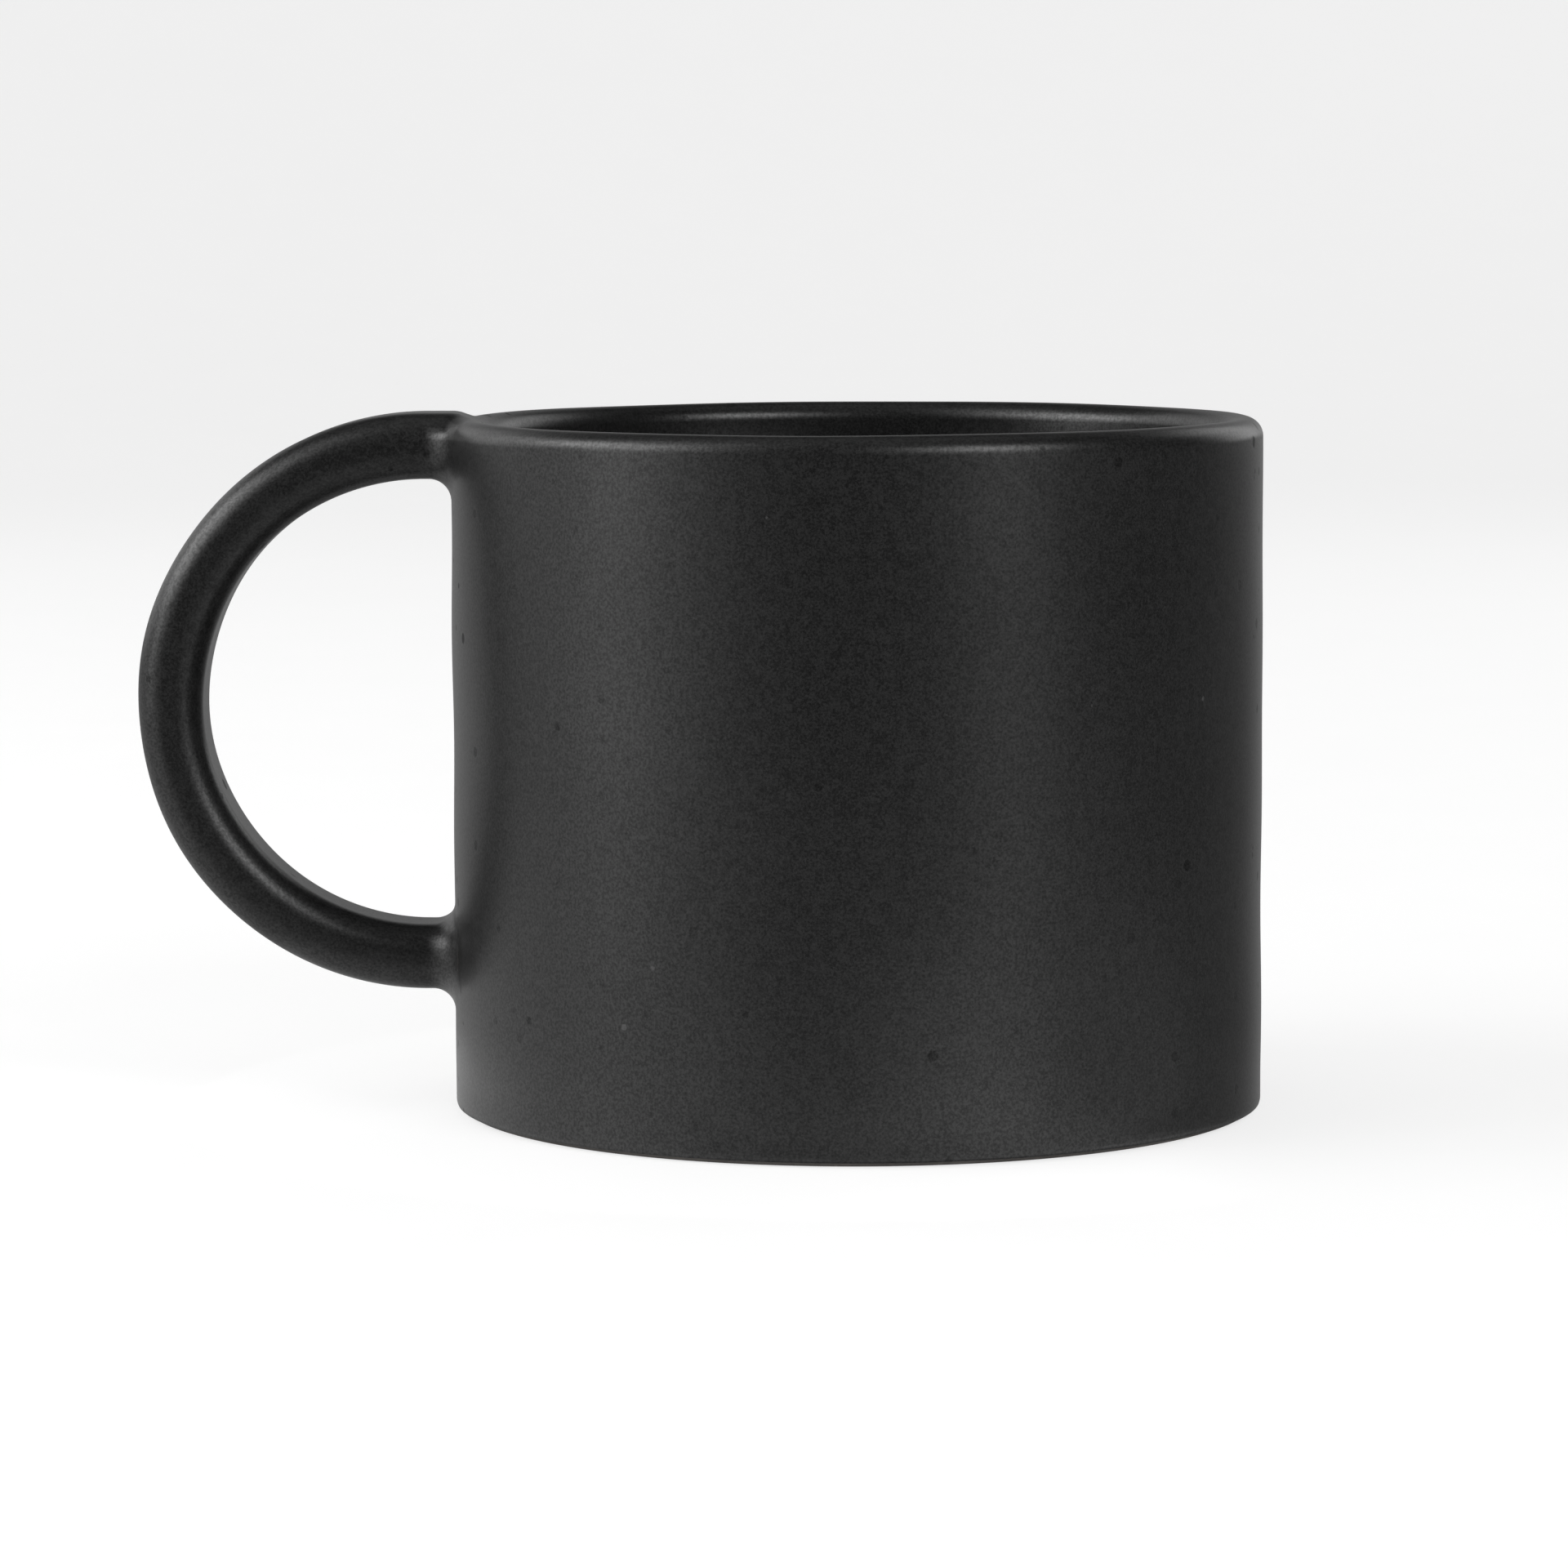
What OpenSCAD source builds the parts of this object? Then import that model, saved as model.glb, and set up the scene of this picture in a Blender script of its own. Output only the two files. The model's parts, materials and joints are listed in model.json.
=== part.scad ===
// Stoneware mug: a straight round cup with a half-ring handle, glazed inside and out.
// Units are millimetres. +Z is up, z = 0 is the plane the mug stands on, the cup's axis is
// the Z axis, and the handle points along -X. All outer sizes are sizes over the glaze.

/* [Cup] */
// Outside diameter over the glaze
outer_d = 88; // [76:1:100]
// Height from the table to the crest of the lip
height = 75; // [70:1:110]
// Wall thickness with both glaze coats; the lip is a full round of half this radius
wall_t = 4; // [3.6:0.2:5]
// Thickness from the table to the glazed floor inside
floor_t = 5; // [4.5:0.5:8]
// Radius of the clay where the wall turns into the floor inside
inner_corner_r = 6; // [3:0.5:10]
// Rounding of the clay around the outside of the foot
base_edge_r = 1; // [0.6:0.1:1.6]

/* [Foot] */
// Width of the foot at the table, from the outside of the clay to the recess
foot_w = 5.7; // [4:0.1:9]
// Height of the glazed ceiling of the recess under the base
recess_h = 1.2; // [0.8:0.1:2]
// Rounding on the inner edge of the foot
foot_inner_r = 0.6; // [0.3:0.1:0.8]

/* [Handle] */
// Thickness of the handle over the glaze, from its inner face to its outer face
handle_t = 7.1; // [6.5:0.1:8]
// Width of the handle over the glaze, across the ring
handle_w = 12; // [10:0.5:13]
// Rounding along the four long edges of the handle, over the glaze
handle_edge_r = 3.2; // [2.4:0.1:3.2]
// Radius of the half ring along the middle of the handle
ring_r = 27.8; // [20:0.2:28]
// Straight stretch between the half ring and the clay wall, at each end
stub_l = 3.1; // [2.8:0.1:8]
// How far the top of the handle stands above the lip
handle_rise = 0.7; // [0.4:0.1:1.2]
// Distance from the clay wall out to the centre of the handle's rounded upper end
dome_out = 0.3; // [0.1:0.1:0.8]
// Radius of the clay slip run into the corner where the handle meets the wall
slip_r = 2.8; // [1.5:0.1:2.8]

/* [Glaze] */
// Thickness of the fired glaze coats
glaze_t = 0.3; // [0.2:0.05:0.4]
// Height above the table where the outside coat stops
glaze_stop_h = 0.5; // [0.4:0.1:0.6]
// How far the outside coat laps over the crest of the lip, towards the inside
lip_lap = 1; // [0.5:0.1:1.2]

/* [Hidden] */
$fn = 96;
fine_fn = 360;
clay_or = outer_d / 2 - glaze_t;
clay_ir = outer_d / 2 - wall_t + glaze_t;
clay_floor = floor_t - glaze_t;
lip_r = wall_t / 2 - glaze_t;
lip_x = outer_d / 2 - wall_t / 2;
lip_z = height - wall_t / 2;
recess_r = clay_or - foot_w;
clay_edge_r = handle_edge_r - glaze_t;
flat_t = handle_t - 2 * handle_edge_r;
flat_w = handle_w - 2 * handle_edge_r;
ring_x = clay_or + stub_l;
upper_z = height + handle_rise - handle_t / 2;
ring_z = upper_z - ring_r;
lower_z = ring_z - ring_r;
slip_top_z = lip_z + lip_r / 2;
// The wall curves away under the slip, so the slip's flat base sits at the middle of that depth
slip_seat = (clay_or - sqrt(pow(clay_or, 2) - pow(flat_w / 2 + clay_edge_r + slip_r, 2))) / 2;
over = 1;

// Half section of the clay wall and floor, grown by t where a coat of that thickness covers it
module cup_section(t) {
    translate([clay_ir - t, base_edge_r]) square([clay_or - clay_ir + 2 * t, lip_z - base_edge_r]);
    translate([lip_x, lip_z]) circle(lip_r + t);
    square([clay_or - base_edge_r, clay_floor + t]);
    intersection() {
        translate([clay_or - base_edge_r, base_edge_r]) circle(base_edge_r + t);
        translate([clay_ir, 0]) square([outer_d, height]);
    }
    difference() {
        translate([clay_ir - inner_corner_r, clay_floor]) square(inner_corner_r);
        translate([clay_ir - inner_corner_r, clay_floor + inner_corner_r]) circle(inner_corner_r - t);
    }
}

// Half section of the coat alone
module coat_section() {
    difference() {
        cup_section(glaze_t);
        cup_section(0);
    }
}

// Half section of the recess under the base, with the foot's inner edge rounded
module recess_section() {
    square([recess_r, recess_h + glaze_t]);
    difference() {
        square([recess_r + foot_inner_r, foot_inner_r]);
        translate([recess_r + foot_inner_r, foot_inner_r]) circle(foot_inner_r);
    }
}

// The clay cup filled up to the lip, used to cut the handle to the wall and over the lip
module cup_blank() {
    rotate_extrude($fn = fine_fn) {
        square([clay_or, lip_z]);
        translate([lip_x, lip_z]) circle(lip_r);
    }
}

// Section of the clay handle, thickness along x and width along y, grown by t
module bar_section(t) {
    square([flat_t + 2 * (clay_edge_r + t), flat_w], center = true);
    square([flat_t, flat_w + 2 * (clay_edge_r + t)], center = true);
    for (u = [-1, 1], v = [-1, 1])
        translate([u * flat_t / 2, v * flat_w / 2]) circle(clay_edge_r + t);
}

// Half ring with straight ends and a rounded upper end, grown by t
module bar(t) {
    translate([-ring_x, 0, ring_z]) rotate([90, 0, 0]) rotate([0, 0, 90])
        rotate_extrude(angle = 180) translate([ring_r, 0]) bar_section(t);
    translate([-ring_x, 0, lower_z]) rotate([0, 90, 0])
        linear_extrude(stub_l + over) bar_section(t);
    translate([-ring_x, 0, upper_z]) rotate([0, 90, 0])
        linear_extrude(stub_l - dome_out) bar_section(t);
    translate([-clay_or - dome_out, 0, upper_z]) rotate([90, 0, 0]) rotate_extrude()
        intersection() {
            bar_section(t);
            translate([0, -handle_w]) square([handle_t, 2 * handle_w]);
        }
}

// Half section of the slip, hollowed between the wall and a surface at the given reach
module cove(reach, t) {
    difference() {
        translate([0, -over]) square([reach + slip_r, slip_r + over]);
        translate([reach + slip_r, slip_r]) circle(slip_r - t);
    }
}

// Slip run into the corner between handle and wall at height z, grown by t, handle included
module slip_flare(z, t) {
    translate([slip_seat - clay_or, 0, z]) rotate([0, -90, 0]) {
        for (u = [-1, 1], v = [-1, 1])
            translate([u * flat_t / 2, v * flat_w / 2, 0]) rotate_extrude() cove(clay_edge_r, t);
        for (side = [0, 180]) rotate([0, 0, side]) translate([0, flat_w / 2, 0]) rotate([90, 0, 0])
            linear_extrude(flat_w) cove(flat_t / 2 + clay_edge_r, t);
        for (side = [90, 270]) rotate([0, 0, side]) translate([0, flat_t / 2, 0]) rotate([90, 0, 0])
            linear_extrude(flat_t) cove(flat_w / 2 + clay_edge_r, t);
    }
}

// The same at the upper end, levelled off below the crest of the lip
module upper_flare(t) {
    intersection() {
        slip_flare(upper_z, t);
        translate([-ring_x, -outer_d / 2, 0]) cube([ring_x, outer_d, slip_top_z + t]);
    }
}

// Handle and slip together over the glaze
module glazed_handle() {
    bar(glaze_t);
    upper_flare(glaze_t);
    slip_flare(lower_z, glaze_t);
}

// Fired clay cup: wall, floor and foot
module stoneware_cup() {
    color("#3b3836") rotate_extrude() difference() {
        cup_section(0);
        recess_section();
    }
}

// Fired clay bar bent to a half ring, its ends cut to the wall and over the lip
module handle() {
    color("#33302f") difference() {
        bar(0);
        cup_blank();
    }
}

// Fillet of slip around the upper end of the handle
module upper_slip_joint() {
    color("#4a4542") difference() {
        upper_flare(0);
        bar(0);
        cup_blank();
    }
}

// Fillet of slip around the lower end of the handle
module lower_slip_joint() {
    color("#4a4542") difference() {
        slip_flare(lower_z, 0);
        bar(0);
        cup_blank();
    }
}

// Satin black coat on the outside of the cup and over the lip
module outer_glaze() {
    color("#1d1d1e") difference() {
        rotate_extrude() intersection() {
            coat_section();
            translate([lip_x - lip_lap, glaze_stop_h]) square([outer_d, height]);
        }
        glazed_handle();
    }
}

// Satin black coat inside the cup
module liner_glaze() {
    color("#161617") rotate_extrude() intersection() {
        coat_section();
        translate([0, clay_floor]) square([lip_x - lip_lap, height]);
    }
}

// Satin black coat on the handle and on both fillets
module handle_glaze() {
    color("#232324") difference() {
        glazed_handle();
        bar(0);
        upper_flare(0);
        slip_flare(lower_z, 0);
        cup_blank();
    }
}

// Coat on the ceiling of the recess under the base
module base_glaze() {
    color("#1d1d1e") translate([0, 0, recess_h]) cylinder(r = recess_r, h = glaze_t);
}

stoneware_cup();
handle();
upper_slip_joint();
lower_slip_joint();
outer_glaze();
liner_glaze();
handle_glaze();
base_glaze();
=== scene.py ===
import json
import math

import bpy
import numpy as np
from mathutils import Euler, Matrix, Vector


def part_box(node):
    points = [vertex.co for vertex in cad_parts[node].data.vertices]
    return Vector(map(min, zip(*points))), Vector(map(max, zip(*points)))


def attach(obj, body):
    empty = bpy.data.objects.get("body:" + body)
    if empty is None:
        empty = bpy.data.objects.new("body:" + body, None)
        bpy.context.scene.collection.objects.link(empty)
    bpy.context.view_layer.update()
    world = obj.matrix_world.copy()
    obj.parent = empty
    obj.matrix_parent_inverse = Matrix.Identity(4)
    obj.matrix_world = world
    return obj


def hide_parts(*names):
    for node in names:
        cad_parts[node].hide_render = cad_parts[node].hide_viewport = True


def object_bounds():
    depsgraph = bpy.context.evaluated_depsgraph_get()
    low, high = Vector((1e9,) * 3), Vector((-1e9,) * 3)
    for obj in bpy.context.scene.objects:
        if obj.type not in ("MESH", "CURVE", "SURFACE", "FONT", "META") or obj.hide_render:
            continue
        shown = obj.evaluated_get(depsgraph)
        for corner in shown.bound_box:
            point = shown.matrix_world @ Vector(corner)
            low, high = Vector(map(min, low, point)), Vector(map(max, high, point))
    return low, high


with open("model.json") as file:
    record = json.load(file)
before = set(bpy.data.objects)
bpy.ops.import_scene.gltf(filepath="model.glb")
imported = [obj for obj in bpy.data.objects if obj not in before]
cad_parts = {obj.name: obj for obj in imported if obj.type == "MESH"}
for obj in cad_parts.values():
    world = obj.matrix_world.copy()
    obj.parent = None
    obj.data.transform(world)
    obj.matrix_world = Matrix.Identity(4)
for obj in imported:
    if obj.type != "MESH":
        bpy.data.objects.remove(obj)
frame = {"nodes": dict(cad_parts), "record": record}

cad_low, cad_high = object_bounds()
MM = 0.001

# ---------------------------------------------------------------- sizes read from the frame

outer_low, outer_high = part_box("outer_glaze")
liner_low, liner_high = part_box("liner_glaze")
base_low, base_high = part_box("base_glaze")
clay_bar_low, clay_bar_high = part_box("handle")
slip_low, slip_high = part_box("lower_slip_joint")
mounts = {m["name"]: m for m in frame["record"]["mounts"]}

GLAZE = base_high.z - base_low.z
OUTER_R = outer_high.x
INNER_R = mounts["mouth"]["dims"]["r_mm"] * MM
LIP_R = (OUTER_R - INNER_R) / 2
LIP_X = OUTER_R - LIP_R
LIP_Z = outer_high.z - LIP_R
SEAM_R = liner_high.x
FLOOR_Z = liner_low.z + GLAZE
RECESS_R = base_high.x
RECESS_Z = base_low.z
GLAZE_STOP_Z = outer_low.z

# the handle is a flat-sided bar bent to a half ring; the slip sits evenly round its lower end
LOWER_Z = (slip_low.z + slip_high.z) / 2
CLAY_HALF_T = LOWER_Z - clay_bar_low.z
HALF_T = CLAY_HALF_T + GLAZE
HALF_W = (clay_bar_high.y - clay_bar_low.y) / 2 + GLAZE
RING_R = (clay_bar_high.z - clay_bar_low.z) / 2 - CLAY_HALF_T
RING_X = clay_bar_low.x + CLAY_HALF_T + RING_R
RING_Z = (clay_bar_high.z + clay_bar_low.z) / 2
UPPER_Z = RING_Z + RING_R

# roundings that the frame's boxes don't give
BASE_EDGE_R = 1.0 * MM
INNER_CORNER_R = 6.0 * MM
FOOT_INNER_R = 0.6 * MM
BAR_EDGE_R = 3.2 * MM
DOME_X = -(OUTER_R - GLAZE + 0.3 * MM)
FILLET_R = 2.4 * MM
FILLET_WIDER = 1.7 * MM

# hand-made unevenness: how far the walls stray, and how far from the foot, lip and floor it starts
OUTSIDE_STRAY = 0.07 * MM
INSIDE_STRAY = 0.16 * MM
BASE_COAT_STRAY = 0.05 * MM
EVEN_FOOT_H = 6 * MM
EVEN_LIP_H = 3.0 * MM
EVEN_FLOOR_H = 8 * MM
EVEN_MIDDLE_R = 9 * MM
WAVE_PITCH = 38
WAVE_PITCH_SWING = 23
GOLDEN_ANGLE = 2.399963

# the coat in the recess gathers against the foot over this width, and is this much thicker there
GATHER_W = 1.5 * MM
GATHER_RISE = 0.35

# ---------------------------------------------------------------- mesh density

COLUMNS = 288
BASE_EDGE_ROWS = 5
BELOW_HANDLE_ROWS = 8
BETWEEN_JOINTS_ROWS = 38
OUTER_LIP_ROWS = 12
INNER_LIP_ROWS = 8
INNER_WALL_ROWS = 44
CORNER_ROWS = 12
FLOOR_ROWS = 18
BLOCK_COLUMNS = 22
BLOCK_ROWS = 21
BLOCK_HALF_H = 8.0 * MM
LOOP = 2 * (BLOCK_COLUMNS + BLOCK_ROWS)
PATCH_RINGS = 24
HANDLE_SIDE_RINGS = 17
BAR_RINGS = 150
BAR_END_GAP = 0.9 * MM
RELAX_STEPS = 120
SHARP_ANGLE = math.radians(50)

OUTSIDE, INSIDE, ON_HANDLE = 0, 1, 2


# ---------------------------------------------------------------- distance to the glazed surface

def cup_distance(p):
    """Signed distance to the outside of the cup and its rounded lip, the cup taken as full."""
    rho = np.hypot(p[:, 0], p[:, 1])
    lip = np.hypot(rho - LIP_X, p[:, 2] - LIP_Z) - LIP_R
    return np.where(p[:, 2] > LIP_Z, lip, rho - OUTER_R)


def bar_distance(p):
    """Signed distance to the handle's bar: half ring, straight ends, rounded upper end."""
    x, y, z = p.T
    ring = np.abs(np.hypot(x - RING_X, z - RING_Z) - RING_R)
    upper = np.hypot(np.maximum(x - DOME_X, 0), z - UPPER_Z)
    lower = np.abs(z - LOWER_Z)
    a = np.where(x < RING_X, ring, np.minimum(upper, lower)) - (HALF_T - BAR_EDGE_R)
    b = np.abs(y) - (HALF_W - BAR_EDGE_R)
    return np.hypot(np.maximum(a, 0), np.maximum(b, 0)) + np.minimum(np.maximum(a, b), 0) - BAR_EDGE_R


def gradient(field, p, step=2e-6):
    """Central differences of a field at every point."""
    parts = []
    for axis in range(3):
        shift = np.zeros(3)
        shift[axis] = step
        parts.append((field(p + shift) - field(p - shift)) / (2 * step))
    return np.stack(parts, 1)


def skin_distance(p):
    """Bar and cup joined by a fillet, wider beside the bar than over and under it, and smaller
    where the two surfaces run alike."""
    bar, cup = bar_distance(p), cup_distance(p)
    off_bar = gradient(bar_distance, p)
    alike = (off_bar * gradient(cup_distance, p)).sum(1)
    r = (FILLET_R + FILLET_WIDER * off_bar[:, 1] ** 2) * np.clip(1 - alike, 0, 1)
    round_in = np.hypot(np.maximum(r - bar, 0), np.maximum(r - cup, 0))
    return np.maximum(r, np.minimum(bar, cup)) - round_in


def onto_skin(p, steps=3, longest=0.8 * MM):
    """Moves points to the filleted surface along its gradient."""
    for _ in range(steps):
        slope = gradient(skin_distance, p)
        size = np.maximum((slope ** 2).sum(1, keepdims=True), 1e-3)
        move = skin_distance(p)[:, None] * slope / size
        length = np.linalg.norm(move, axis=1, keepdims=True)
        p = p - move * np.minimum(1, longest / np.maximum(length, 1e-12))
    return p


# ---------------------------------------------------------------- hand-made unevenness

def waves(angle, height, lobes, seed):
    """Smooth unevenness round the cup, about -1 to 1, that closes on itself."""
    total = np.zeros_like(angle)
    for k, m in enumerate(lobes):
        turn = GOLDEN_ANGLE * (seed + k)
        pitch = (WAVE_PITCH + WAVE_PITCH_SWING * math.sin(seed + 1.7 * k)) * MM
        total += np.cos(m * angle + turn) * np.cos(2 * math.pi * height / pitch + 1.3 * turn)
    return total / math.sqrt(len(lobes))


def unevenness(p, inside):
    """How far each point of the skin stands out from the true form."""
    angle = np.arctan2(p[:, 1], p[:, 0])
    z = p[:, 2]
    even_foot = np.clip(z / EVEN_FOOT_H, 0, 1) ** 2
    out = OUTSIDE_STRAY * even_foot * waves(angle, z, (2, 3, 5, 8), 4)
    below_lip = np.clip((LIP_Z + LIP_R - z) / EVEN_LIP_H, 0, 1) ** 2
    wall = np.clip((z - FLOOR_Z) / EVEN_FLOOR_H, 0, 1)
    thrown = INSIDE_STRAY * waves(angle, z, (4, 7, 9, 11), 9)
    return np.where(inside, out + below_lip * wall * thrown, out)


# ---------------------------------------------------------------- the glazed skin as one surface

def arc(cx, cz, r, start, end, count):
    """Points on a circular arc of a half section, angles in degrees from +rho towards +z."""
    turns = np.radians(np.linspace(start, end, count + 1))
    return [(cx + r * math.cos(t), cz + r * math.sin(t)) for t in turns]


def straight(a, b, count):
    """Points on a straight line of a half section, without its first point."""
    return [tuple(np.array(a) + (np.array(b) - np.array(a)) * k / count) for k in range(1, count + 1)]


def skin_profile():
    """Half section over the glaze, from where it stops above the foot to the middle of the floor.
    Returns the points, the first row of each handle block and the row where the inside begins."""
    edge_r = BASE_EDGE_R + GLAZE
    edge_x = OUTER_R - edge_r
    low = math.degrees(math.asin((GLAZE_STOP_Z - BASE_EDGE_R) / edge_r))
    seam = math.degrees(math.acos((SEAM_R - LIP_X) / LIP_R))
    points = arc(edge_x, BASE_EDGE_R, edge_r, low, 0, BASE_EDGE_ROWS)
    points += straight(points[-1], (OUTER_R, LOWER_Z - BLOCK_HALF_H), BELOW_HANDLE_ROWS)
    lower_row = len(points) - 1
    points += straight(points[-1], (OUTER_R, LOWER_Z + BLOCK_HALF_H), BLOCK_ROWS)
    points += straight(points[-1], (OUTER_R, UPPER_Z - BLOCK_HALF_H), BETWEEN_JOINTS_ROWS)
    upper_row = len(points) - 1
    points += straight(points[-1], (OUTER_R, LIP_Z), BLOCK_ROWS - OUTER_LIP_ROWS)
    points += arc(LIP_X, LIP_Z, LIP_R, 0, seam, OUTER_LIP_ROWS)[1:]
    seam_row = len(points) - 1
    points += arc(LIP_X, LIP_Z, LIP_R, seam, 180, INNER_LIP_ROWS)[1:]
    corner_x = INNER_R + GLAZE - INNER_CORNER_R
    corner_z = FLOOR_Z - GLAZE + INNER_CORNER_R
    points += straight(points[-1], (INNER_R, corner_z), INNER_WALL_ROWS)
    points += arc(corner_x, corner_z, INNER_CORNER_R - GLAZE, 0, -90, CORNER_ROWS)[1:]
    points += straight(points[-1], (0, FLOOR_Z), FLOOR_ROWS)
    return np.array(points), lower_row, upper_row, seam_row


def column_angle(i):
    """Angle of a column. The middle of the handle blocks, which lie on -X, is at half a block."""
    return math.pi + 2 * math.pi * (i - BLOCK_COLUMNS / 2) / COLUMNS


def block_loop(first_row, from_top):
    """Grid indices (row, column) round a handle block, from its top or bottom middle towards -Y."""
    top, bottom = first_row + BLOCK_ROWS, first_row
    start, far = (top, bottom) if from_top else (bottom, top)
    middle, last = BLOCK_COLUMNS // 2, BLOCK_COLUMNS
    step = -1 if from_top else 1
    loop = [(start, i) for i in range(middle, last)]
    loop += [(j, last) for j in range(start, far, step)]
    loop += [(far, i) for i in range(last, 0, -1)]
    loop += [(j, 0) for j in range(far, start, -step)]
    loop += [(start, i) for i in range(0, middle)]
    return loop


def bar_section():
    """LOOP points evenly round the bar's section, from its outward middle towards -Y.
    Each point is (outward, sideways)."""
    flat_t, flat_w = HALF_T - BAR_EDGE_R, HALF_W - BAR_EDGE_R
    corner = 0.5 * math.pi * BAR_EDGE_R
    quarter = flat_w + corner + flat_t
    points = []
    for k in range(LOOP):
        along = 4 * quarter * k / LOOP
        side = 1 if along <= 2 * quarter else -1
        along = min(along, 4 * quarter - along)
        outward = 1 if along <= quarter else -1
        along = min(along, 2 * quarter - along)
        turn = min(max(along - flat_w, 0), corner) / BAR_EDGE_R
        u = flat_t + BAR_EDGE_R * math.cos(turn) - max(along - flat_w - corner, 0)
        v = min(along, flat_w) + BAR_EDGE_R * math.sin(turn)
        points.append((outward * u, side * v))
    return np.array(points)


def bar_ring(turn):
    """One ring of LOOP points round the bar, at an angle along the half ring from its upper end."""
    centre = np.array([RING_X - RING_R * math.sin(turn), 0, RING_Z + RING_R * math.cos(turn)])
    outward = np.array([-math.sin(turn), 0, math.cos(turn)])
    side = np.array([0, -1, 0])
    section = bar_section()
    return centre + np.outer(section[:, 0], outward) + np.outer(section[:, 1], side)


def joint_patch(ring, loop):
    """Rings of points from the bar's last ring to the edge of a block, spread over the fillet."""
    t = np.linspace(0, 1, PATCH_RINGS + 1)[:, None, None]
    rings = ring[None] * (1 - t) + loop[None] * t
    inner = rings[1:-1]
    inner[:] = onto_skin(inner.reshape(-1, 3), steps=12).reshape(inner.shape)
    for _ in range(RELAX_STEPS):
        level = np.roll(inner, 1, 1) + np.roll(inner, -1, 1) + rings[:-2] + rings[2:]
        inner[:] = onto_skin((level / 4).reshape(-1, 3), steps=1).reshape(inner.shape)
    inner[:] = onto_skin(inner.reshape(-1, 3), steps=4).reshape(inner.shape)
    return rings


def glazed_skin():
    """Vertices, faces and a tag for each face of the whole glazed surface."""
    profile, lower_row, upper_row, seam_row = skin_profile()
    verts, faces, tags = [], [], []
    last_row = len(profile) - 1
    grid = {}
    inside_block = {
        (j, i)
        for first in (lower_row, upper_row)
        for j in range(first + 1, first + BLOCK_ROWS)
        for i in range(1, BLOCK_COLUMNS)
    }
    for j in range(last_row):
        for i in range(COLUMNS):
            if (j, i) not in inside_block:
                a = column_angle(i)
                grid[j, i] = len(verts)
                verts.append((profile[j][0] * math.cos(a), profile[j][0] * math.sin(a), profile[j][1]))
    pole = len(verts)
    verts.append((0, 0, profile[last_row][1]))
    for j in range(last_row):
        in_rows = any(first <= j < first + BLOCK_ROWS for first in (lower_row, upper_row))
        tag = OUTSIDE if j < seam_row else INSIDE
        for i in range(COLUMNS):
            n = (i + 1) % COLUMNS
            if in_rows and i < BLOCK_COLUMNS:
                continue
            if j == last_row - 1:
                faces.append((grid[j, i], grid[j, n], pole))
            else:
                faces.append((grid[j, i], grid[j, n], grid[j + 1, n], grid[j + 1, i]))
            tags.append(tag)

    def add_ring(points):
        start = len(verts)
        verts.extend(map(tuple, points))
        return list(range(start, start + len(points)))

    def stitch(a, b, tag):
        for k in range(LOOP):
            n = (k + 1) % LOOP
            faces.append((a[k], a[n], b[n], b[k]))
            tags.append(tag)

    first_turn = BAR_END_GAP / RING_R
    turns = np.linspace(first_turn, math.pi - first_turn, BAR_RINGS)
    tube = [add_ring(bar_ring(t)) for t in turns]
    for a, b in zip(tube, tube[1:]):
        stitch(a, b, ON_HANDLE)
    for end, first_row, from_top in ((0, upper_row, True), (-1, lower_row, False)):
        loop_ids = [grid[key] for key in block_loop(first_row, from_top)]
        loop = np.array([verts[v] for v in loop_ids])
        rings = joint_patch(bar_ring(turns[end]), loop)
        ids = [tube[end]] + [add_ring(r) for r in rings[1:-1]] + [loop_ids]
        for k in range(PATCH_RINGS):
            stitch(ids[k], ids[k + 1], ON_HANDLE if k < HANDLE_SIDE_RINGS else OUTSIDE)
    return np.array(verts), faces, np.array(tags)


def face_normals(verts, faces):
    """Area-weighted normals of three- and four-sided faces, from their diagonals."""
    corners = np.array([f if len(f) == 4 else (*f, f[0]) for f in faces])
    p = verts[corners]
    return np.cross(p[:, 2] - p[:, 0], p[:, 3] - p[:, 1]), p.mean(1)


def face_outward(verts, faces):
    """Turns every face of the skin so that it looks out of the glaze."""
    normals, centres = face_normals(verts, faces)
    rho = np.hypot(centres[:, 0], centres[:, 1])
    radial = centres * [1, 1, 0] / np.maximum(rho, 1e-9)[:, None]
    out = gradient(skin_distance, centres)
    in_cup = (rho < LIP_X - 0.5 * LIP_R) & (bar_distance(centres) > 0.01 * MM)
    wall = in_cup & (centres[:, 2] > FLOOR_Z + INNER_CORNER_R)
    out[wall] = -radial[wall]
    low = in_cup & ~wall
    middle = np.array([0, 0, FLOOR_Z + 3 * INNER_CORNER_R])
    out[low] = middle - centres[low]
    turned = (normals * out).sum(1) < 0
    return [f[::-1] if t else f for f, t in zip(faces, turned)]


def vertex_normals(verts, faces):
    """Unit vertex normals of a smooth surface."""
    normals, _ = face_normals(verts, faces)
    total = np.zeros_like(verts)
    for f, n in zip(faces, normals):
        for v in f:
            total[v] += n
    return total / np.maximum(np.linalg.norm(total, axis=1, keepdims=True), 1e-20)


# ---------------------------------------------------------------- making Blender objects

def new_object(name, verts, faces):
    """A smooth mesh object, linked to the scene."""
    mesh = bpy.data.meshes.new(name)
    mesh.from_pydata([tuple(v) for v in verts], [], [tuple(f) for f in faces])
    mesh.validate()
    mesh.polygons.foreach_set("use_smooth", [True] * len(mesh.polygons))
    obj = bpy.data.objects.new(name, mesh)
    bpy.context.scene.collection.objects.link(obj)
    return obj


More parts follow.
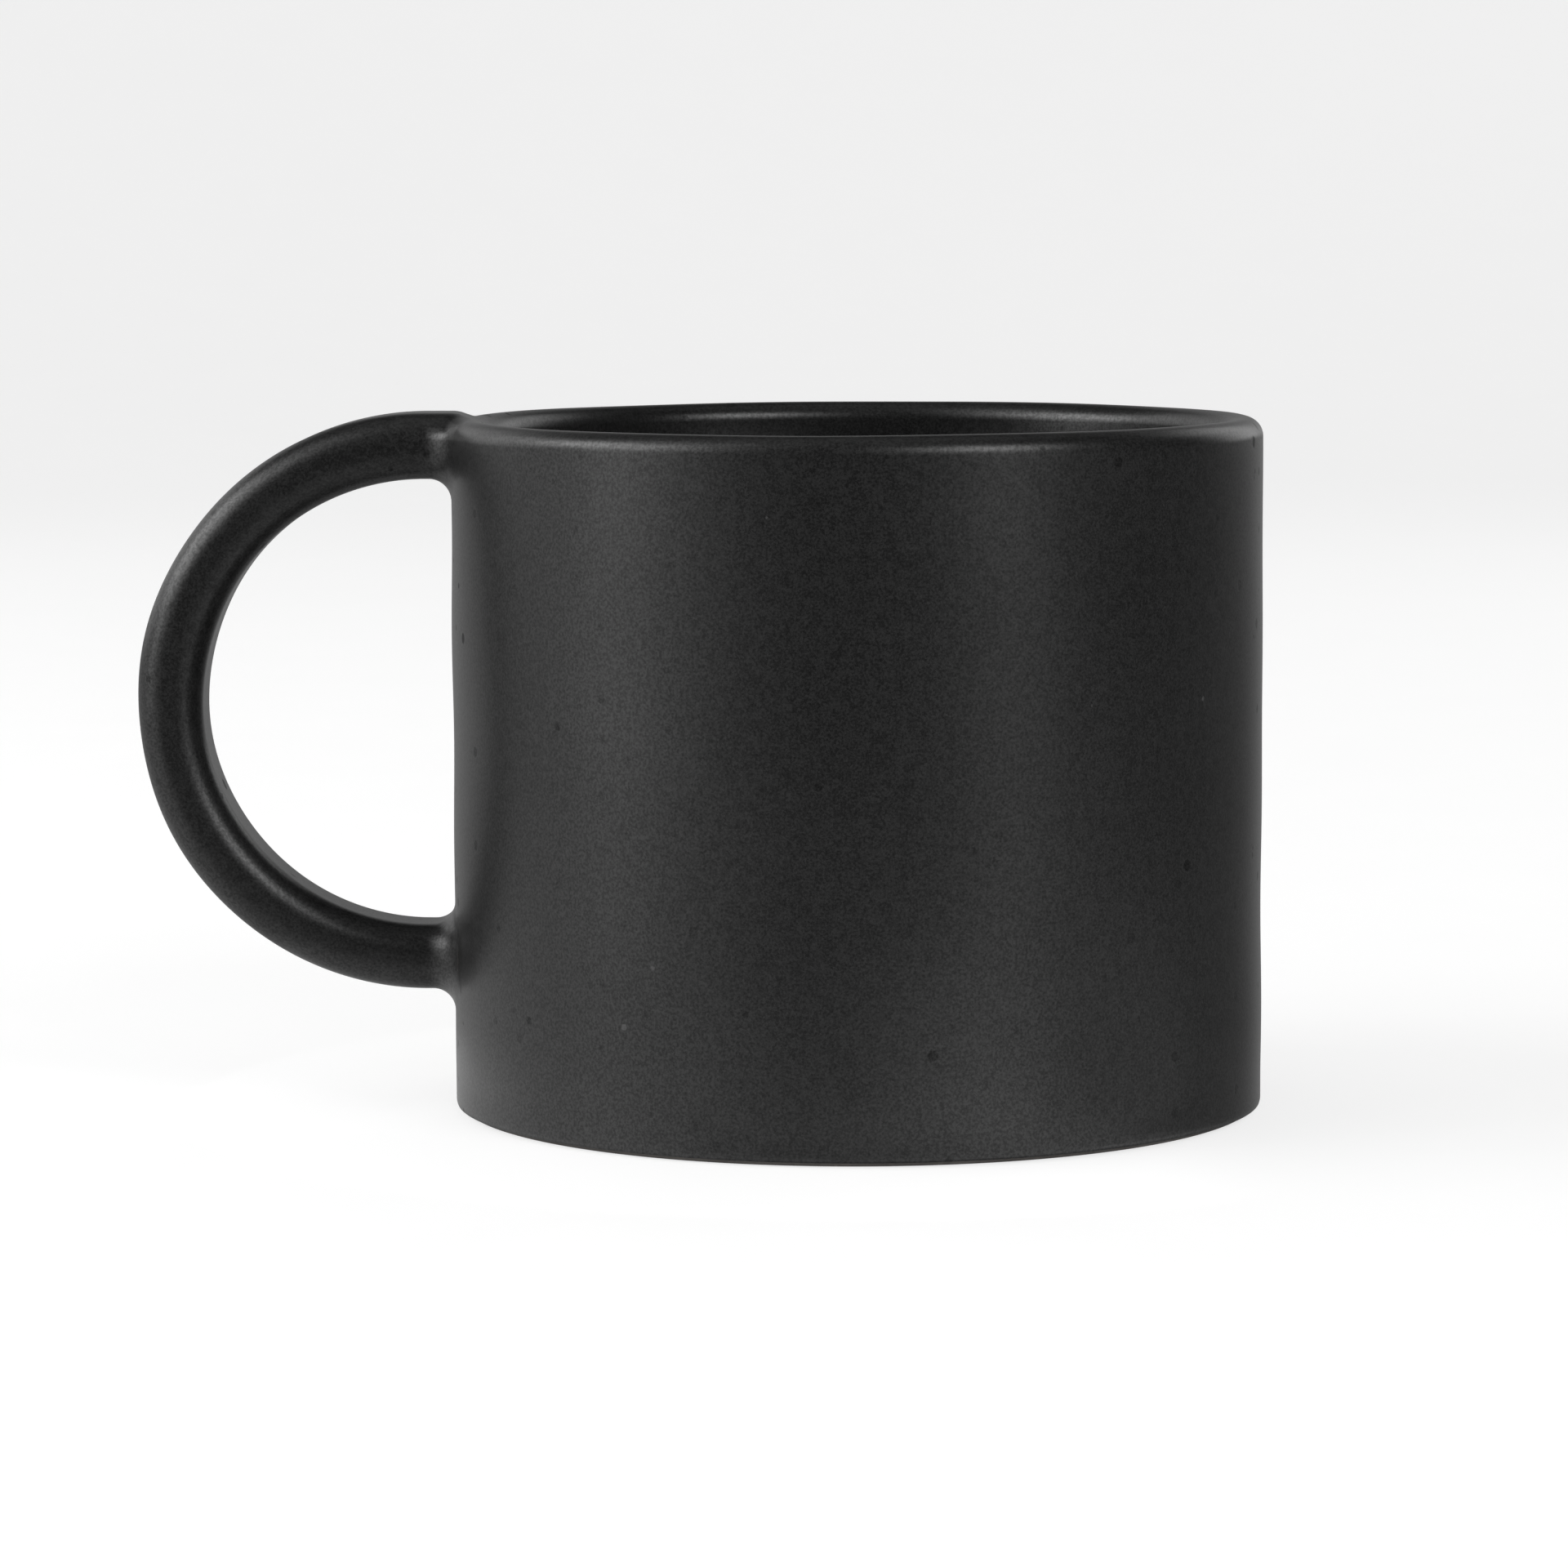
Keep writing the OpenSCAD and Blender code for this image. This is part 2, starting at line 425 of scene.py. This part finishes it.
def coat_piece(name, verts, faces, normals, thickness):
    """A closed coat: the skin's own faces, the same faces on the clay below, and a rim between."""
    used = sorted({v for f in faces for v in f})
    place = {v: k for k, v in enumerate(used)}
    count = len(used)
    top = verts[used]
    over = normals[used]
    below = top - thickness * over
    shown = [tuple(place[v] for v in f) for f in faces]
    edges = {}
    for f in shown:
        for a, b in zip(f, f[1:] + f[:1]):
            edges[a, b] = edges.get((a, b), 0) + 1
    rim = [(b, a, a + count, b + count) for a, b in edges if (b, a) not in edges]
    under = [tuple(v + count for v in reversed(f)) for f in shown]
    obj = new_object(name, np.vstack([top, below]), shown + under + rim)
    mesh = obj.data
    corner_normals = []
    for f in shown:
        corner_normals += [tuple(over[v]) for v in f]
    for f in under:
        corner_normals += [tuple(-over[v - count]) for v in f]
    for f in rim:
        corner_normals += [(0, 0, 0)] * len(f)
    mesh.polygons.foreach_set("use_smooth", [True] * (len(shown) + len(under)) + [False] * len(rim))
    mesh.normals_split_custom_set(corner_normals)
    return obj


def turned_piece(name, profile, raise_by):
    """A closed solid of revolution, from one pole on the axis to the other, made uneven by raise_by."""
    verts, faces, rows = [], [], []
    for rho, z in profile:
        if rho < 1e-9:
            rows.append([len(verts)])
            verts.append((0, 0, z))
            continue
        rows.append(list(range(len(verts), len(verts) + COLUMNS)))
        for i in range(COLUMNS):
            a = column_angle(i)
            verts.append((rho * math.cos(a), rho * math.sin(a), z))
    for a, b in zip(rows, rows[1:]):
        for i in range(COLUMNS):
            n = (i + 1) % COLUMNS
            if len(a) == 1:
                faces.append((a[0], b[n], b[i]))
            elif len(b) == 1:
                faces.append((a[i], a[n], b[0]))
            else:
                faces.append((a[i], a[n], b[n], b[i]))
    verts = np.array(verts)
    verts += raise_by(verts, vertex_normals(verts, faces))
    obj = new_object(name, verts, faces)
    obj.data.set_sharp_from_angle(angle=SHARP_ANGLE)
    return obj


def make_glaze_pieces():
    """The outside, liner and handle coats, which meet without a step."""
    verts, faces, tags = glazed_skin()
    faces = face_outward(verts, faces)
    normals = vertex_normals(verts, faces)
    inside = np.zeros(len(verts), bool)
    for f, t in zip(faces, tags):
        if t == INSIDE:
            inside[list(f)] = True
    verts = verts + normals * unevenness(verts, inside)[:, None]
    normals = vertex_normals(verts, faces)
    pieces = {}
    for name, tag in (
        ("outer_glaze_coat", OUTSIDE),
        ("liner_glaze_coat", INSIDE),
        ("handle_glaze_coat", ON_HANDLE),
    ):
        mine = [f for f, t in zip(faces, tags) if t == tag]
        pieces[name] = coat_piece(name, verts, mine, normals, GLAZE)
    return pieces


def clay_cup_profile():
    """Half section of the clay, from the recess's ceiling round the foot, wall and lip to the floor."""
    clay_r = OUTER_R - GLAZE
    recess_top = RECESS_Z + GLAZE
    inner_x = INNER_R + GLAZE
    corner_x, corner_z = inner_x - INNER_CORNER_R, FLOOR_Z - GLAZE + INNER_CORNER_R
    points = [(0, recess_top)]
    points += straight(points[-1], (RECESS_R, recess_top), 12)
    points += straight(points[-1], (RECESS_R, FOOT_INNER_R), 3)
    points += arc(RECESS_R + FOOT_INNER_R, FOOT_INNER_R, FOOT_INNER_R, 180, 270, 5)[1:]
    points += straight(points[-1], (clay_r - BASE_EDGE_R, 0), 6)
    points += arc(clay_r - BASE_EDGE_R, BASE_EDGE_R, BASE_EDGE_R, -90, 0, 7)[1:]
    points += straight(points[-1], (clay_r, LIP_Z), 50)
    points += arc(LIP_X, LIP_Z, LIP_R - GLAZE, 0, 180, 18)[1:]
    points += straight(points[-1], (inner_x, corner_z), INNER_WALL_ROWS)
    points += arc(corner_x, corner_z, INNER_CORNER_R, 0, -90, CORNER_ROWS)[1:]
    points += straight(points[-1], (0, FLOOR_Z - GLAZE), FLOOR_ROWS)
    return points


def clay_unevenness(p, normals):
    """The clay follows the glaze's unevenness."""
    inside = (np.hypot(p[:, 0], p[:, 1]) < LIP_X) & (p[:, 2] > FLOOR_Z - 2 * GLAZE)
    return normals * unevenness(p, inside)[:, None]


def base_coat_profile():
    """Half section of the coat in the recess, thicker where it gathers against the foot."""
    top = RECESS_Z + GLAZE
    points = [(0, RECESS_Z)]
    points += straight(points[-1], (RECESS_R - GATHER_W, RECESS_Z), 16)
    points += [
        (RECESS_R - GATHER_W * math.cos(t), RECESS_Z - GATHER_RISE * GLAZE * (1 - math.cos(t)))
        for t in np.linspace(0, math.pi / 2, 7)[1:]
    ]
    points += straight(points[-1], (RECESS_R, top), 2)
    points += straight(points[-1], (0, top), 10)
    return points


def base_coat_unevenness(p, normals):
    """The lower face of the coat in the recess sags a little, except at its middle."""
    angle = np.arctan2(p[:, 1], p[:, 0])
    rho = np.hypot(p[:, 0], p[:, 1])
    sag = BASE_COAT_STRAY * waves(angle, 3 * rho, (1, 2, 4), 3) * np.clip(rho / EVEN_MIDDLE_R, 0, 1)
    lower_face = p[:, 2] < RECESS_Z + 0.5 * GLAZE
    return np.stack([0 * sag, 0 * sag, np.where(lower_face, sag, 0)], 1)


# ---------------------------------------------------------------- materials

SPAN_SOCKETS = ("From Min", "From Max", "To Min", "To Max")


class Shader:
    """Short-hand for building one node material."""

    def __init__(self, name):
        self.material = bpy.data.materials.new(name)
        self.material.use_nodes = True
        self.tree = self.material.node_tree
        self.bsdf = self.tree.nodes["Principled BSDF"]
        self.place = self.add("ShaderNodeTexCoord").outputs["Object"]

    def add(self, kind, **settings):
        node = self.tree.nodes.new(kind)
        for key, value in settings.items():
            setattr(node, key, value)
        return node

    def join(self, source, target):
        self.tree.links.new(source, target)

    def noise(self, scale, detail, roughness):
        """Noise in the object's own space, scale in cells a metre."""
        node = self.add("ShaderNodeTexNoise")
        node.inputs["Scale"].default_value = scale
        node.inputs["Detail"].default_value = detail
        node.inputs["Roughness"].default_value = roughness
        self.join(self.place, node.inputs["Vector"])
        return node.outputs["Fac"]

    def span(self, value, low, high, to_low, to_high):
        """Maps low..high to to_low..to_high, smoothly and clamped."""
        node = self.add("ShaderNodeMapRange", interpolation_type="SMOOTHSTEP")
        self.join(value, node.inputs["Value"])
        for key, number in zip(SPAN_SOCKETS, (low, high, to_low, to_high)):
            node.inputs[key].default_value = number
        return node.outputs["Result"]

    def maths(self, operation, a, b):
        """One sum of two values, each a number or a socket."""
        node = self.add("ShaderNodeMath", operation=operation)
        for socket, value in zip(node.inputs, (a, b)):
            if isinstance(value, (int, float)):
                socket.default_value = value
            else:
                self.join(value, socket)
        return node.outputs["Value"]

    def mix(self, factor, a, b):
        """Mixes two colours, each a linear (r, g, b) or a socket."""
        node = self.add("ShaderNodeMix", data_type="RGBA")
        self.join(factor, node.inputs["Factor"])
        for key, value in (("A", a), ("B", b)):
            socket = [s for s in node.inputs if s.name == key and s.type == "RGBA"][0]
            if isinstance(value, tuple):
                socket.default_value = (*value, 1)
            else:
                self.join(value, socket)
        return [s for s in node.outputs if s.type == "RGBA"][0]

    def specks(self, scale, size, share):
        """Round specks, 1 in a speck and 0 between. size is in cells, share is how many cells have one."""
        cells = self.add("ShaderNodeTexVoronoi", feature="F1")
        cells.inputs["Scale"].default_value = scale
        self.join(self.place, cells.inputs["Vector"])
        pick = self.add("ShaderNodeSeparateColor")
        self.join(cells.outputs["Color"], pick.inputs["Color"])
        reach = self.span(pick.outputs["Red"], 1 - share, 1, 0, size)
        inside = self.maths("SUBTRACT", reach, cells.outputs["Distance"])
        return self.span(inside, 0, 0.35 * size, 0, 1)

    def bump(self, height, strength, distance, under=None):
        """Normal of a fine relief, laid over another one if under is given."""
        node = self.add("ShaderNodeBump")
        node.inputs["Strength"].default_value = strength
        node.inputs["Distance"].default_value = distance
        self.join(height, node.inputs["Height"])
        if under is not None:
            self.join(under, node.inputs["Normal"])
        return node.outputs["Normal"]

    def finish(self, color, roughness, normal):
        self.join(color, self.bsdf.inputs["Base Color"])
        self.join(roughness, self.bsdf.inputs["Roughness"])
        self.join(normal, self.bsdf.inputs["Normal"])
        return self.material

    def along(self, axis):
        """Distance along one axis of the object."""
        split = self.add("ShaderNodeSeparateXYZ")
        self.join(self.place, split.inputs["Vector"])
        return split.outputs[axis]


def grey(value):
    return (value, value, value)


def black_glaze(name, dark, light, rough):
    """Satin black glaze: finely grained, faintly mottled, with dull dark specks and small pale ones."""
    s = Shader(name)
    grain = s.noise(4200, 2, 0.6)
    mottle = s.noise(900, 2, 0.5)
    clouds = s.noise(60, 2, 0.5)
    tone = s.maths("ADD", s.maths("MULTIPLY", grain, 0.70), s.maths("MULTIPLY", mottle, 0.25))
    tone = s.maths("ADD", tone, s.maths("MULTIPLY", clouds, 0.05))
    color = s.mix(s.span(tone, 0.40, 0.60, 0, 1), grey(dark), grey(light))
    # paler where the glaze runs thin on the lip's crest; on the foot's rounded edge the glaze runs thin
    # and a painted highlight is laid on as well
    thin_lip = s.span(s.along("Z"), LIP_Z + 0.6 * LIP_R, LIP_Z + LIP_R, 0, 0.35)
    foot_thin_glaze_and_highlight = s.span(s.along("Z"), 1.6 * BASE_EDGE_R, 0.5 * BASE_EDGE_R, 0, 0.5)
    thin_glaze_and_highlight = s.maths("MULTIPLY", s.maths("MAXIMUM", thin_lip, foot_thin_glaze_and_highlight), s.span(mottle, 0.35, 0.6, 0.5, 1))
    # lightens the lip's crest for thin glaze, and the foot's edge for thin glaze and a painted highlight
    color = s.mix(thin_glaze_and_highlight, color, grey(1.6 * light))
    faint_specks = s.specks(420, 0.30, 0.40)
    faint_specks = s.maths("MULTIPLY", faint_specks, 0.45)
    dark_specks = s.maths("MAXIMUM", s.specks(260, 0.20, 0.10), faint_specks)
    color = s.mix(dark_specks, color, grey(0.2 * dark))
    pale_specks = s.specks(330, 0.14, 0.03)
    color = s.mix(pale_specks, color, grey(3 * light))
    patchy = s.maths("ADD", s.maths("MULTIPLY", mottle, 0.2), s.maths("MULTIPLY", grain, 0.8))
    roughness = s.span(patchy, 0.35, 0.65, rough - 0.015, rough + 0.015)
    roughness = s.maths("ADD", roughness, s.maths("MULTIPLY", dark_specks, 0.2))
    shine = s.span(s.noise(3300, 2, 0.6), 0.34, 0.66, 0.36, 0.64)
    shine = s.maths("SUBTRACT", shine, s.maths("MULTIPLY", dark_specks, 0.12))
    s.join(shine, s.bsdf.inputs["Specular IOR Level"])
    flow = s.bump(s.noise(90, 2, 0.5), 1.0, 0.03 * MM)
    peel = s.bump(s.noise(3600, 2, 0.6), 1.0, 0.005 * MM, flow)
    relief = s.maths("SUBTRACT", s.maths("MULTIPLY", pale_specks, 0.5), dark_specks)
    return s.finish(color, roughness, s.bump(relief, 1.0, 0.02 * MM, peel))


def bare_clay(name, dark, light):
    """Fired stoneware without glaze: matte, gritty, with iron specks and pale grog."""
    s = Shader(name)
    grit = s.noise(1800, 5, 0.65)
    body = s.noise(120, 4, 0.6)
    tone = s.maths("ADD", s.maths("MULTIPLY", grit, 0.5), s.maths("MULTIPLY", body, 0.5))
    color = s.mix(s.span(tone, 0.35, 0.65, 0, 1), dark, light)
    grog = s.specks(900, 0.25, 0.2)
    color = s.mix(grog, color, tuple(1.9 * c for c in light))
    iron = s.specks(420, 0.2, 0.25)
    color = s.mix(iron, color, tuple(0.3 * c for c in dark))
    polish = s.span(s.along("Z"), 0.25 * MM, 0.02 * MM, 0, 0.12)
    roughness = s.maths("SUBTRACT", s.span(grit, 0.3, 0.7, 0.72, 0.9), polish)
    rough_skin = s.bump(grit, 1.0, 0.05 * MM)
    return s.finish(color, roughness, s.bump(grog, 0.6, 0.04 * MM, rough_skin))


def pale_paper(name, brightness, glow):
    """Matte studio floor, barely uneven in tone and softly lit from within so that it stays pale."""
    s = Shader(name)
    tone = s.span(s.noise(3, 3, 0.5), 0.3, 0.7, 0, 1)
    color = s.mix(tone, grey(brightness * 0.985), grey(brightness))
    s.bsdf.inputs["Emission Color"].default_value = (1, 1, 1, 1)
    s.bsdf.inputs["Emission Strength"].default_value = glow
    roughness = s.span(s.noise(40, 2, 0.5), 0.3, 0.7, 0.8, 0.95)
    return s.finish(color, roughness, s.bump(s.noise(600, 2, 0.5), 0.3, 0.02 * MM))


# ---------------------------------------------------------------- stage, light and camera

STAGE_FLAT_R, STAGE_SWEEP_R, STAGE_WALL_H = 1.3, 1.1, 1.0
STAGE_SEGMENTS = 96

SOFTBOX_DISTANCE = 1.0
# azimuth (0 is the -Y side, 90 the +X side) and elevation in degrees, width, height, radiance
SOFTBOXES = {
    "left_low_softbox": (-70, 8, 0.36, 0.42, 1.84),
    "left_softbox": (-70, 30, 0.36, 0.42, 3.76),
    "left_high_softbox": (-66, 52, 0.60, 0.42, 1.05),
    "left_front_softbox": (-52, 30, 0.36, 0.42, 1.57),
    "left_front_low_softbox": (-52, 8, 0.36, 0.42, 0.54),
    "left_side_softbox": (-90, 30, 0.36, 0.42, 4.92),
    "left_side_low_softbox": (-90, 8, 0.36, 0.42, 0.38),
    "left_rear_softbox": (-115, 20, 0.50, 0.60, 1.17),
    "left_back_softbox": (-140, 20, 0.50, 0.60, 0.70),
    "right_softbox": (42, 30, 0.36, 0.42, 5.41),
    "right_low_softbox": (42, 8, 0.36, 0.42, 1.06),
    "right_front_softbox": (25, 30, 0.36, 0.42, 2.11),
    "right_back_softbox": (140, 20, 0.50, 0.60, 1.39),
    "top_softbox": (0, 89.9, 1.0, 1.0, 0.22),
}
BACKDROP_RADIANCE = 0.49
# how bright the far floor is in reflections towards one side: axis, where it starts and where it
# is full, radiance
FLOOR_LOBES = (
    ("X", -0.2, -0.8, 0.52),
    ("X", 0.2, 0.8, 0.15),
    ("Z", -0.05, -0.5, 0.13),
)
# azimuth in degrees and radiance of the bright floor a hand's width from the mug
FLOOR_PATCHES = (
    ("floor_front", 0, 0.25),
    ("floor_right", 42, 0.36),
    ("floor_left", -85, 0.13),
)
PATCH_DISTANCE, PATCH_RADIUS, PATCH_Z = 0.15, 0.10, 0.8 * MM
# the floor next to the mug: width and height of the ring, radiance on the left and in front on the
# right, and what is left of it at the far right
NEAR_FLOOR_WIDTH = 30 * MM
NEAR_FLOOR_Z = 0.2 * MM
NEAR_FLOOR_RADIANCE = (0.30, 0.78)
NEAR_FLOOR_REST = 0.05

# the camera stands on the mug's -Y side; angles in degrees
CAMERA_DISTANCE = 0.648
CAMERA_HEIGHT = 0.1033
CAMERA_PAN = 0.687
CAMERA_TILT = -6.016
CAMERA_ROLL = 0.21
LENS = 137.0


def stage_rings(rings):
    """Points round the axis for each ring's (radius, height)."""
    turns = [2 * math.pi * i / STAGE_SEGMENTS for i in range(STAGE_SEGMENTS)]
    return [(r * math.cos(t), r * math.sin(t), z) for r, z in rings for t in turns]


def stage_steps():
    """Each point's number round a ring and the number of the next one."""
    return [(i, (i + 1) % STAGE_SEGMENTS) for i in range(STAGE_SEGMENTS)]


def make_stage():
    """A pale floor that curves up into a backdrop all round, wide enough for every view."""
    rings = [(r, 0.0) for r in (0.3, 0.6, 0.9, 1.1)]
    rings += arc(STAGE_FLAT_R, STAGE_SWEEP_R, STAGE_SWEEP_R, -90, 0, 24)
    rings.append((STAGE_FLAT_R + STAGE_SWEEP_R, STAGE_SWEEP_R + STAGE_WALL_H))
    verts = [(0, 0, 0)] + stage_rings(rings)
    faces = [(0, 1 + i, 1 + n) for i, n in stage_steps()]
    for j in range(len(rings) - 1):
        a, b = 1 + j * STAGE_SEGMENTS, 1 + (j + 1) * STAGE_SEGMENTS
        faces += [(a + i, b + i, b + n, a + n) for i, n in stage_steps()]
    floor = new_object("studio_floor", verts, faces)
    floor.data.materials.append(pale_paper("pale_floor", 0.30, 0.70))
    floor.visible_glossy = False


def area_light(name, shape, size, area, radiance):
    """An area light that the camera doesn't see."""
    light = bpy.data.lights.new(name, "AREA")
    light.shape = shape
    light.size = size
    light.energy = math.pi * area * radiance
    obj = bpy.data.objects.new(name, light)
    bpy.context.scene.collection.objects.link(obj)
    obj.visible_camera = False
    return obj


def softbox(name, azimuth, elevation, width, height, radiance):
    """A soft rectangular light that looks at the middle of the mug."""
    obj = area_light(name, "RECTANGLE", width, width * height, radiance)
    obj.data.size_y = height
    a, e = math.radians(azimuth), math.radians(elevation)
    back = Vector((math.sin(a) * math.cos(e), -math.cos(a) * math.cos(e), math.sin(e)))
    target = Vector((0, 0, (cad_low.z + cad_high.z) / 2))
    obj.location = target + back * SOFTBOX_DISTANCE
    obj.rotation_mode = "QUATERNION"
    obj.rotation_quaternion = (-back).to_track_quat("-Z", "Y")


def floor_patch(name, azimuth, radiance):
    """A weak round light just over the floor, for what a pale floor throws back near the mug."""
    obj = area_light(name, "DISK", 2 * PATCH_RADIUS, math.pi * PATCH_RADIUS ** 2, radiance)
    a = math.radians(azimuth)
    obj.location = (PATCH_DISTANCE * math.sin(a), -PATCH_DISTANCE * math.cos(a), PATCH_Z)
    obj.rotation_euler = (math.pi, 0, 0)


def near_floor():
    """Glow of the pale floor close round the mug, brightest in front on the right. Only reflections
    show it, and it adds to what they would show without it."""
    inner, outer = OUTER_R + 0.5 * MM, OUTER_R + NEAR_FLOOR_WIDTH
    verts = stage_rings([(inner, NEAR_FLOOR_Z), (outer, NEAR_FLOOR_Z)])
    faces = [(i, STAGE_SEGMENTS + i, STAGE_SEGMENTS + n, n) for i, n in stage_steps()]
    ring = new_object("near_floor", verts, faces)
    s = Shader("near_floor")
    rise = s.span(s.along("X"), -0.5 * OUTER_R, 0.5 * OUTER_R, *NEAR_FLOOR_RADIANCE)
    fall = s.span(s.along("X"), 0.62 * OUTER_R, 1.0 * OUTER_R, 1, NEAR_FLOOR_REST)
    glow = s.add("ShaderNodeEmission")
    s.join(s.maths("MULTIPLY", rise, fall), glow.inputs["Strength"])
    both = s.add("ShaderNodeAddShader")
    s.join(glow.outputs["Emission"], both.inputs[0])
    s.join(s.add("ShaderNodeBsdfTransparent").outputs["BSDF"], both.inputs[1])
    s.tree.nodes.remove(s.bsdf)
    s.join(both.outputs["Shader"], s.tree.nodes["Material Output"].inputs["Surface"])
    ring.data.materials.append(s.material)
    ring.visible_camera = ring.visible_diffuse = ring.visible_shadow = False


def make_world():
    """White to the camera. In reflections it is a dark room with a pale backdrop and a pale floor."""
    world = bpy.data.worlds.new("studio")
    world.use_nodes = True
    tree = world.node_tree
    room = tree.nodes["Background"]
    white = tree.nodes.new("ShaderNodeBackground")
    white.inputs["Strength"].default_value = 1.0
    for background in (room, white):
        background.inputs["Color"].default_value = (1, 1, 1, 1)
    direction = tree.nodes.new("ShaderNodeTexCoord")
    split = tree.nodes.new("ShaderNodeSeparateXYZ")
    tree.links.new(direction.outputs["Generated"], split.inputs["Vector"])

    def lobe(axis, low, high, strength):
        """Brightness that grows smoothly with one part of the direction."""
        node = tree.nodes.new("ShaderNodeMapRange")
        node.interpolation_type = "SMOOTHSTEP"
        tree.links.new(split.outputs[axis], node.inputs["Value"])
        for key, number in zip(SPAN_SOCKETS, (low, high, 0.0, strength)):
            node.inputs[key].default_value = number
        return node.outputs["Result"]

    def maths(operation, a, b):
        node = tree.nodes.new("ShaderNodeMath")
        node.operation = operation
        tree.links.new(a, node.inputs[0])
        tree.links.new(b, node.inputs[1])
        return node.outputs["Value"]

    below = lobe("Z", 0.02, -0.06, 1.0)
    total = lobe("Y", 0.75, 0.98, BACKDROP_RADIANCE)
    for axis, low, high, radiance in FLOOR_LOBES:
        total = maths("ADD", total, maths("MULTIPLY", below, lobe(axis, low, high, radiance)))
    tree.links.new(total, room.inputs["Strength"])
    ray = tree.nodes.new("ShaderNodeLightPath")
    mix = tree.nodes.new("ShaderNodeMixShader")
    tree.links.new(ray.outputs["Is Camera Ray"], mix.inputs[0])
    tree.links.new(room.outputs["Background"], mix.inputs[1])
    tree.links.new(white.outputs["Background"], mix.inputs[2])
    tree.links.new(mix.outputs["Shader"], tree.nodes["World Output"].inputs["Surface"])
    bpy.context.scene.world = world


def make_lights():
    for name, settings in SOFTBOXES.items():
        softbox(name, *settings)
    for patch in FLOOR_PATCHES:
        floor_patch(*patch)
    near_floor()
    make_world()


def make_camera():
    """The mug is seen from a little above, straight from the side, with the handle on the left."""
    camera = bpy.data.objects.new("camera", bpy.data.cameras.new("camera"))
    camera.data.lens = LENS
    camera.data.sensor_width = 36.0
    camera.data.clip_start, camera.data.clip_end = 0.01, 10.0
    camera.location = (0, -CAMERA_DISTANCE, CAMERA_HEIGHT)
    angles = (90 + CAMERA_TILT, CAMERA_ROLL, CAMERA_PAN)
    camera.rotation_euler = Euler([math.radians(a) for a in angles], "XYZ")
    bpy.context.scene.collection.objects.link(camera)
    bpy.context.scene.camera = camera


# ---------------------------------------------------------------- build

make_camera()
glaze = make_glaze_pieces()
clay_cup = turned_piece("clay_cup", clay_cup_profile(), clay_unevenness)
base_coat = turned_piece("base_glaze_coat", base_coat_profile(), base_coat_unevenness)

outside_glaze = black_glaze("satin_black_glaze", 0.004, 0.011, 0.36)
inside_glaze = black_glaze("satin_black_liner", 0.004, 0.010, 0.34)
fired_clay = bare_clay("fired_clay", (0.045, 0.040, 0.037), (0.075, 0.068, 0.062))
fired_slip = bare_clay("fired_slip", (0.052, 0.047, 0.043), (0.082, 0.074, 0.068))

for piece, node, slot, material in (
    (glaze["outer_glaze_coat"], "outer_glaze", "black_glaze", outside_glaze),
    (glaze["liner_glaze_coat"], "liner_glaze", "liner_glaze", inside_glaze),
    (glaze["handle_glaze_coat"], "handle_glaze", "black_glaze", outside_glaze),
    (base_coat, "base_glaze", "black_glaze", outside_glaze),
    (clay_cup, "stoneware_cup", "fired_clay", fired_clay),
):
    piece.data.materials.append(material)
    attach(piece, "root")
    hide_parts(node)

for node, material in (
    ("handle", fired_clay),
    ("upper_slip_joint", fired_slip),
    ("lower_slip_joint", fired_slip),
):
    obj = frame["nodes"][node]
    obj.data.materials.clear()
    obj.data.materials.append(material)

make_stage()
make_lights()
bpy.context.scene.view_settings.view_transform = "Standard"
bpy.context.scene.view_settings.look = "None"
